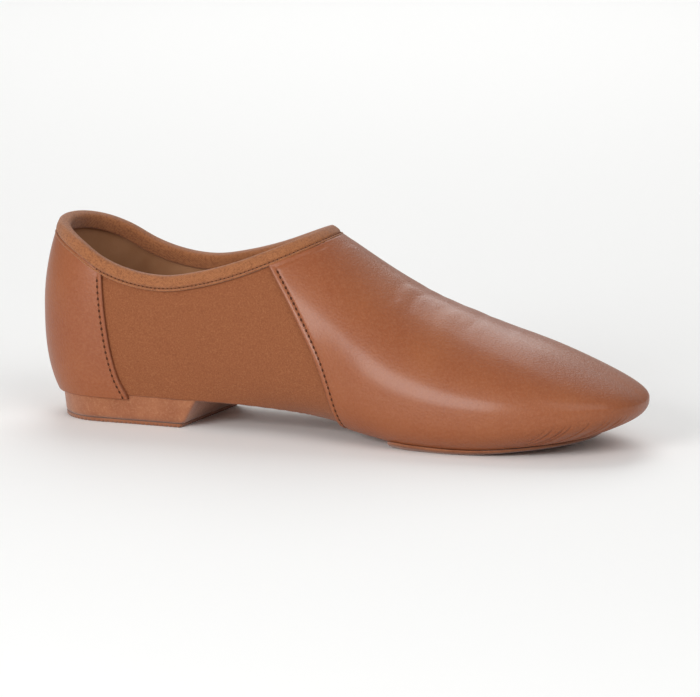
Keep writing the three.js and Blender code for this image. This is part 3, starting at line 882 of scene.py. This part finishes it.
def buildHeel():
    low = heel["sheet"] + heel["gap"]
    rings = heelCap(heelOutline(low, 1.2), low, np.linspace(0, 1, 8))
    for lift, inset in ((0.12, 0.5), (0.5, 0.12)):
        rings.append(levelRing(heelOutline(low + lift, inset), low + lift))
    foot = low + heel["foot"]
    atFloor, risen = heelOutline(0.0), heelOutline(heel["reference"])
    for share in np.linspace(0, 1, heel["layers"]):
        height = np.full(len(atFloor), foot)
        # The outline leans with its height, and the height follows the leather over the outline
        for _ in range(3):
            outline = atFloor + (risen - atFloor) * (height / heel["reference"])[:, None]
            top = undersideHeight(outline[:, 0], outline[:, 1], heel["into"])
            height = foot + (top - foot) * share
        rings.append(levelRing(outline, height))
    points = np.stack(rings)
    # Darker towards the block's foot, just above the sheet
    wearAndShade = 0.3 * bell(points[..., 2] - low, 1.2)
    meshPiece("heel_block", points, gridFaces(*points.shape[:2], wrapColumns=True), "suede",
              "heel_block", {"wearAndShade": wearAndShade.ravel()}, weld=0.001)


buildHeel()


# Heel sheet: thin, with a row of small notches along the foot of its edge, each painted darker than the edge
# as shade in its recess
def buildHeelSheet():
    outline = heelOutline(0.0)
    outline = resample(join([outline, outline[:1]]), heel["notchStep"])[:-1]
    ahead = unit(np.roll(outline, -1, 0) - np.roll(outline, 1, 0))
    outward = np.stack([ahead[:, 1], -ahead[:, 0]], -1)
    turns = np.arange(len(outline)) * heel["notchStep"] / heel["notchPitch"]
    notch = ease(np.cos(2 * np.pi * turns), 0.2, 0.8)
    shares = np.linspace(0, 1, 6)
    rings = heelCap(outline - outward * heel["capInset"], 0.0, shares)
    wearAndShade = [np.full(len(outline), 0.3)] * len(shares)
    for height, inset, cut in ((0.03, 0.5, 0.4), (0.12, 0.15, 1), (0.35, 0.0, 1), (0.7, 0.0, 0.8),
                               (0.95, 0.0, 0), (1.35, 0.0, 0), (1.48, 0.15, 0)):
        back = inset - heel["flare"] * height + cut * heel["notchDepth"] * notch
        rings.append(levelRing(outline - outward * back[:, None], height))
        # The notches are painted darker, as shade in their recesses
        wearAndShade.append(0.1 + 0.5 * notch * cut)
    rings += heelCap(outline - outward * heel["capInset"], heel["sheet"], shares[::-1])
    wearAndShade += [np.full(len(outline), 0.1)] * len(shares)
    meshPiece("heel_sole", np.stack(rings), gridFaces(len(rings), len(outline), wrapColumns=True),
              "heelSheet", "heel_sole", {"wearAndShade": join(wearAndShade)}, weld=0.001)


buildHeelSheet()

# Forefoot sole: a suede plate under the ball and toes, rounded at its edge and curved with the shoe

plate = {
    "sideShare": 0.84, "toeShare": 0.76, "back": 146.02, "bow": 10.0, "wall": 1.4, "gap": 0.3,
    "centre": (190.0, -4.0), "turns": 360, "samples": 500, "cornerPower": 22.0, "rounds": 4,
}


# How far the plate reaches from its centre in each direction: a share of the form, or the back edge, a
# bow of x = back + bow * (y / half width)^2, met by each ray. A high power rounds the corners between.
def plateReach(turn):
    count = plate["samples"]
    station = join([np.linspace(1.2, 3, count), np.linspace(3, 1.2, count)[1:]])
    side = np.where(np.arange(len(station)) < count, -1.0, 1.0)
    _, spineX, spineY, armX, armY = armOf(station, side, 0.0)
    cx, cy = plate["centre"]
    toeward = np.maximum(armX / np.hypot(armX, armY), 0) ** 2
    share = plate["sideShare"] + (plate["toeShare"] - plate["sideShare"]) * toeward
    dx, dy = spineX + armX * share - cx, spineY + armY * share - cy
    angle = np.arctan2(dy, dx)
    order = np.argsort(angle)
    edge = np.interp(turn, angle[order], np.hypot(dx, dy)[order], period=2 * np.pi)
    far = np.linspace(1, 90, 400)[None]
    x, y = cx + far * np.cos(turn)[:, None], cy + far * np.sin(turn)[:, None]
    beyond = x < plate["back"] + plate["bow"] * (y / (last["ballWidth"] / 2)) ** 2
    rear = np.where(beyond.any(1), far[0][np.argmax(beyond, 1)], 400.0)
    return (edge ** -plate["cornerPower"] + rear ** -plate["cornerPower"]) ** (-1 / plate["cornerPower"])


def buildPlate():
    turn = np.linspace(-np.pi, np.pi, plate["turns"], endpoint=False)
    reach = relaxed(plateReach(turn), plate["rounds"])
    cx, cy = plate["centre"]
    wall, gap = plate["wall"], plate["gap"]
    # Each ring's share of the reach, its inset and its depth under the leather: top, edge and underside
    profile = [(f, 0.0, wall + gap) for f in np.linspace(0.0, 0.97, 26)]
    profile += [
        (1.0, -0.5, wall + gap - 0.03), (1.0, -0.12, wall + gap - 0.25), (1.0, 0.0, wall + gap - 0.6),
        (1.0, -0.02, gap + 0.3), (1.0, -0.2, gap + 0.05), (1.0, -1.6, gap), (0.7, 0.0, gap), (0.0, 0.0, gap),
    ]
    rings, wearAndShade = [], []
    for share, inset, depth in profile:
        r = reach * share + inset
        x, y = cx + r * np.cos(turn), cy + r * np.sin(turn)
        rings.append(np.stack([x, y, undersideHeight(x, y, 0.0) - depth], -1))
        # Darker where it rubs the floor, and along the foot of its edge, partly wear and partly painted
        # shade; the darkening that grows towards the toe is painted shade of the gap under the pleats
        rubbed = 0.12 + 0.3 * bell(x - 190, 24) * bell(y + 6, 24) + 0.2 * bell(x - 222, 9)
        edgeWearAndShade = 0.55 + 0.35 * ease(x, 175, 205) if share > 0.98 else rubbed
        onEdge = share > 0.98 and inset > -1
        foot = ease(depth, gap + 0.2, wall + gap - 0.2) if onEdge else float(depth > wall)
        wearAndShade.append(0.05 + (edgeWearAndShade - 0.05) * np.maximum(foot, 0.6 * ease(x, 185, 205)))
    meshPiece("forefoot_sole", np.stack(rings), gridFaces(len(rings), len(turn), wrapColumns=True),
              "suede", "forefoot_sole", {"wearAndShade": join(wearAndShade)}, weld=0.001)


buildPlate()

# Insole: a thin footbed that follows the sock's floor, its edge turned down to the lining. shares are
# parts of the way out to the widest line, and grows lie inside the form.

bed = {"share": 0.9, "top": -5.4, "foot": -3.2, "rows": 20, "weld": 0.02}


def buildInsole():
    station = join([np.linspace(0, 1, 24)[:-1], np.linspace(1, 2, 70)[:-1], np.linspace(2, 3, 28)])
    share, top, foot, rows = bed["share"], bed["top"], bed["foot"], bed["rows"]
    shares = join([np.linspace(0, share - 0.04, rows), [share - 0.015, share, share]])
    grows = join([np.full(rows, top), [top + 0.25, top + 0.9, foot]])
    grids = []
    for side in (-1.0, 1.0):
        _, spineX, spineY, armX, armY = armOf(station, np.full_like(station, side), foot)
        x = spineX[:, None] + armX[:, None] * shares[None]
        y = spineY[:, None] + armY[:, None] * shares[None]
        grids.append(np.stack([x, y, undersideHeight(x, y, grows[None])], -1))
    faces = twinFaces(*grids[0].shape[:2])
    meshPiece("insole", np.stack(grids), faces, "lining", "insole", weld=bed["weld"])


buildInsole()
print("pieces done")

# Floor, light and camera. The camera's angles are in degrees, and its distance, the width that it sees
# and its aim in millimetres. The floor and the lights are in metres.

studio = {
    "floor": "#f6f6f5", "world": 0.37, "azimuth": 20.5, "elevation": 10.8, "distance": 2200.0,
    "across": 269.0, "aim": (2.5, 0.0, 31.0), "sensor": 36.0, "nearEdge": -6.0, "bendStart": 2.5,
    "bend": 1.5, "wallTop": 6.0, "halfWidth": 8.0, "lightAim": 0.03,
}


# Directions of the view on the floor: to the camera's right, and from the shoe to the camera
def viewAxes():
    a = np.radians(studio["azimuth"])
    return np.array([np.cos(a), np.sin(a), 0]), np.array([np.sin(a), -np.cos(a), 0])


# A flat floor that bends up into a wall behind the shoe, on a quarter circle
def buildFloor():
    material, _, surface, _ = newMaterial("paleFloor", 0.2, roughness=0.7)
    surface.inputs["Base Color"].default_value = linear(studio["floor"])
    turn = np.linspace(0, np.pi / 2, 24)[1:]
    start, bend = studio["bendStart"], studio["bend"]
    run = join([[studio["nearEdge"], start], start + bend * np.sin(turn), [start + bend]])
    rise = join([[0.0, 0.0], bend - bend * np.cos(turn), [studio["wallTop"]]])
    right, toward = viewAxes()
    middle = -toward * run[:, None] + np.array([0, 0, 1]) * rise[:, None]
    points = join([middle - studio["halfWidth"] * right, middle + studio["halfWidth"] * right])
    mesh = bpy.data.meshes.new("floor")
    mesh.from_pydata(points.tolist(), [], gridFaces(2, len(run)).tolist())
    mesh.shade_smooth()
    mesh.materials.append(material)
    addObject("floor", mesh)


# A softbox that faces the shoe, at an angle to the camera's right, an elevation and a distance
def addSoftbox(name, azimuth, elevation, distance, size, power):
    right, toward = viewAxes()
    a, e = np.radians(azimuth), np.radians(elevation)
    away = np.cos(e) * (np.cos(a) * toward + np.sin(a) * right) + np.array([0, 0, np.sin(e)])
    light = bpy.data.lights.new(name, "AREA")
    light.shape = "RECTANGLE"
    light.size, light.size_y = size
    light.energy = power
    lamp = addObject(name, light)
    lamp.location = away * distance + np.array([0, 0, studio["lightAim"]])
    lamp.rotation_euler = Vector(away).to_track_quat("Z", "Y").to_euler()


# The low key draws the streak along the side, the back light the sheen on the top, and one fills the toe
def lightStudio():
    world = bpy.data.worlds.new("studioWorld")
    world.use_nodes = True
    background = world.node_tree.nodes["Background"]
    background.inputs["Color"].default_value = linear("#ffffff")
    background.inputs["Strength"].default_value = studio["world"]
    bpy.context.scene.world = world
    addSoftbox("keySoftbox", -38, 19.5, 1.8, (0.9, 0.64), 19.5)
    addSoftbox("backSoftbox", 178, 44, 1.7, (0.95, 1.6), 12.5)
    addSoftbox("toeSoftbox", 34, 38, 1.9, (1.6, 1.3), 11)


def placeCamera():
    e = np.radians(studio["elevation"])
    back = Vector(viewAxes()[1] * np.cos(e) + np.array([0, 0, np.sin(e)]))
    camera = bpy.data.cameras.new("camera")
    camera.sensor_width = studio["sensor"]
    camera.lens = studio["sensor"] * studio["distance"] / studio["across"]
    view = addObject("camera", camera)
    view.location = Vector(studio["aim"]) * millimetre + back * (studio["distance"] * millimetre)
    view.rotation_euler = back.to_track_quat("Z", "Y").to_euler()
    bpy.context.scene.camera = view


buildFloor()
lightStudio()
placeCamera()
bpy.context.scene.view_settings.view_transform = "Standard"
print("studio done")
